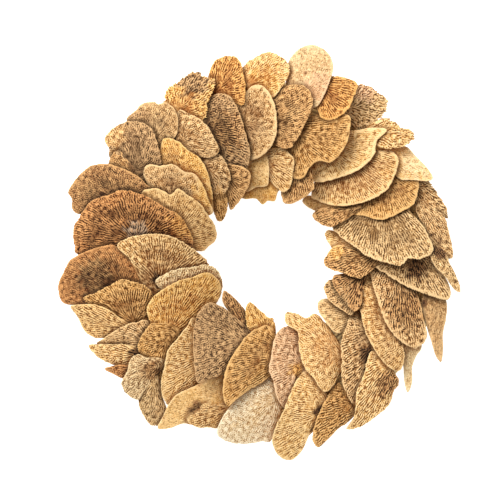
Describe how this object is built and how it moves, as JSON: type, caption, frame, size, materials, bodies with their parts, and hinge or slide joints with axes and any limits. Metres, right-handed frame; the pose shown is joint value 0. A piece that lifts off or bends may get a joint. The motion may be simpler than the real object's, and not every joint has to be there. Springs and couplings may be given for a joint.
{
  "type": "tree fungus wreath",
  "caption": "Round wreath of dried bracket fungus caps, laid like shingles clockwise round an open centre, gill side out, on a flat-backed ring for a wall, door or table.",
  "frame": {"origin": "middle of the wreath's outline seen from the front, on the plane that its flat back lies on", "axes": "+Z out of the wreath's face, away from the wall; +Y towards its top as it is held in the picture; +X to the viewer's right"},
  "size_m": [0.352, 0.3644, 0.0741],
  "materials": {
    "cream_fungus": "matt, pale, finely pored gill face with a smooth margin",
    "golden_fungus": "matt, dry, golden gill face with a cream margin",
    "ochre_fungus": "matt, dry, orange-brown gill face with coarse ridges",
    "tan_fungus": "matt, dry, tan gill face with a pale margin",
    "brown_fungus": "matt, dry, dark brown gill face with deep grooves",
    "taupe_fungus": "matt, dry, grey-brown gill face with a maze of ridges",
    "straw": "matt straw stems bound with twine"
  },
  "bodies": {
    "root": {"straw_ring": "straw", "cap_top_1": "taupe_fungus", "cap_top_2": "cream_fungus", "cap_top_3": "ochre_fungus", "cap_top_4": "taupe_fungus", "cap_top_5": "tan_fungus", "cap_top_6": "golden_fungus", "cap_right_1": "golden_fungus", "cap_right_2": "ochre_fungus", "cap_right_3": "golden_fungus", "cap_right_4": "brown_fungus", "cap_right_5": "tan_fungus", "cap_right_6": "brown_fungus", "cap_right_7": "tan_fungus", "cap_right_8": "taupe_fungus", "cap_right_9": "golden_fungus", "cap_right_10": "tan_fungus", "cap_inner_1": "brown_fungus", "cap_inner_2": "tan_fungus", "cap_inner_3": "golden_fungus", "cap_inner_4": "golden_fungus", "cap_inner_5": "cream_fungus", "cap_inner_6": "golden_fungus", "cap_inner_7": "taupe_fungus", "cap_inner_8": "brown_fungus", "cap_top_7": "taupe_fungus", "cap_top_8": "tan_fungus", "cap_top_9": "golden_fungus", "cap_top_10": "ochre_fungus", "cap_top_11": "golden_fungus", "cap_top_12": "tan_fungus", "cap_top_13": "taupe_fungus", "cap_top_14": "golden_fungus", "cap_left_1": "tan_fungus", "cap_left_2": "tan_fungus", "cap_left_3": "cream_fungus", "cap_left_4": "brown_fungus", "cap_left_5": "brown_fungus", "cap_left_6": "brown_fungus", "cap_left_7": "tan_fungus", "cap_left_8": "taupe_fungus", "cap_left_9": "ochre_fungus", "cap_left_10": "tan_fungus", "cap_left_11": "golden_fungus", "cap_left_12": "tan_fungus", "cap_left_13": "golden_fungus", "cap_bottom_1": "taupe_fungus", "cap_bottom_2": "ochre_fungus", "cap_bottom_3": "golden_fungus", "cap_bottom_4": "cream_fungus", "cap_bottom_5": "taupe_fungus", "cap_bottom_6": "tan_fungus", "cap_bottom_7": "ochre_fungus", "cap_bottom_8": "cream_fungus", "cap_bottom_9": "tan_fungus", "cap_bottom_10": "golden_fungus", "cap_bottom_11": "golden_fungus", "cap_bottom_12": "brown_fungus", "cap_bottom_13": "tan_fungus", "cap_bottom_14": "golden_fungus"}
  },
  "joints": []
}
